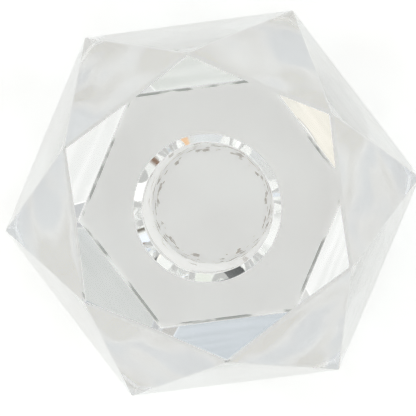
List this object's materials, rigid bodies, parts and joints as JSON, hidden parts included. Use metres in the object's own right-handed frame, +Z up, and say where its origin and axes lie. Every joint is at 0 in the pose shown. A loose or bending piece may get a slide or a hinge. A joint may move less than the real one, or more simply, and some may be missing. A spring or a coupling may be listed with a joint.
{
  "type": "candlestick",
  "caption": "Low cut-glass block candlestick with faceted hexagonal crown and tapering base; a round blind bore in the flat top holds a dinner candle.",
  "frame": {"origin": "centre of the flat base face, on the axis of the candle bore", "axes": "+Z up along the bore, +X towards one corner of the widest hexagon, +Y towards the middle of one of its sides"},
  "size_m": [0.0756, 0.0654, 0.048],
  "materials": {
    "crystal": "clear, polished"
  },
  "bodies": {
    "root": {"crystal_block": "crystal"}
  },
  "joints": []
}
